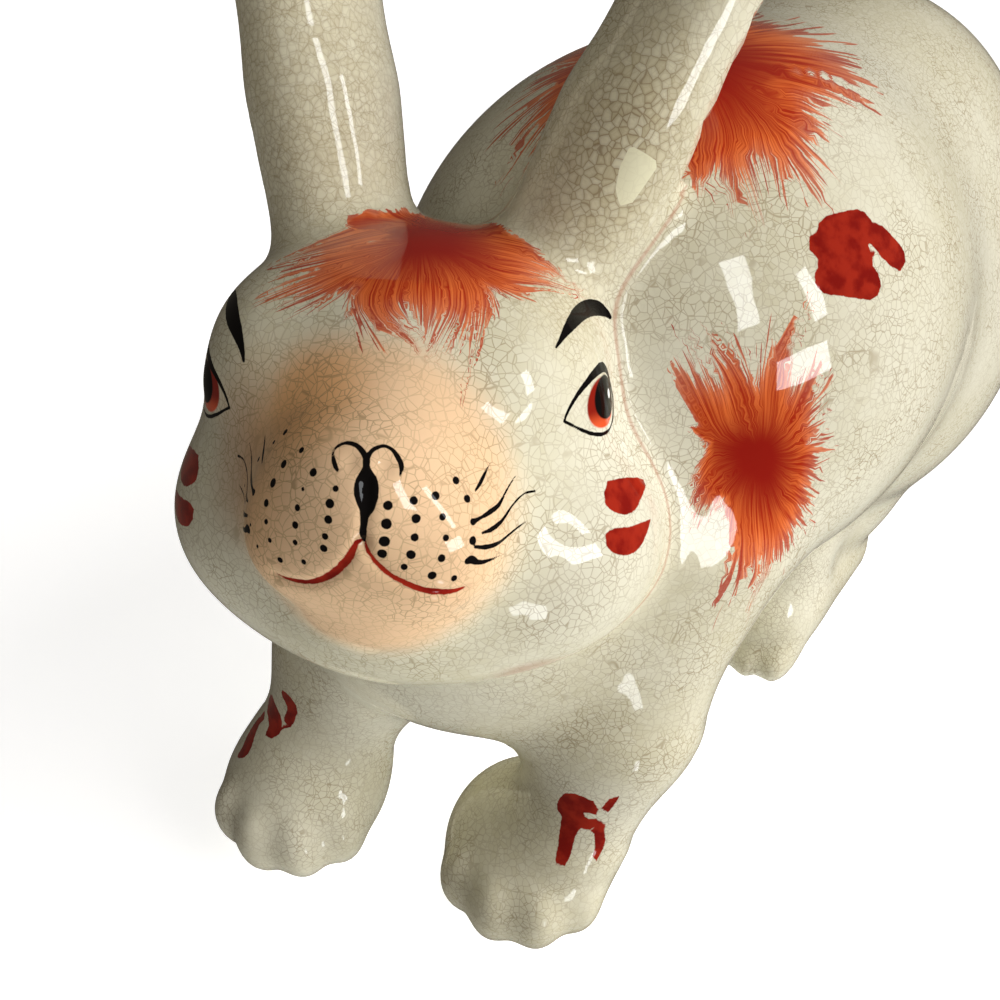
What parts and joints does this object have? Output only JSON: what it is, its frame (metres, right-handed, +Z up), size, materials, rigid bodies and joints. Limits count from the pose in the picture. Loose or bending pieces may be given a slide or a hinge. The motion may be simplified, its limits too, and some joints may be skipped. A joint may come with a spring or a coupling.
{
  "type": "hare figurine",
  "caption": "Standing hare figurine with upright ears and its head turned to the left, hollow ceramic with a crackled cream glaze and painted red tufts.",
  "frame": {"origin": "on the ground, under the middle of the figure's bounding box", "axes": "+Z up, the hare faces -Y, its left side is +X"},
  "size_m": [0.159, 0.3231, 0.2919],
  "materials": {
    "cream_glaze": "gloss, crackled glaze"
  },
  "bodies": {
    "root": {"hare": "cream_glaze"}
  },
  "joints": []
}
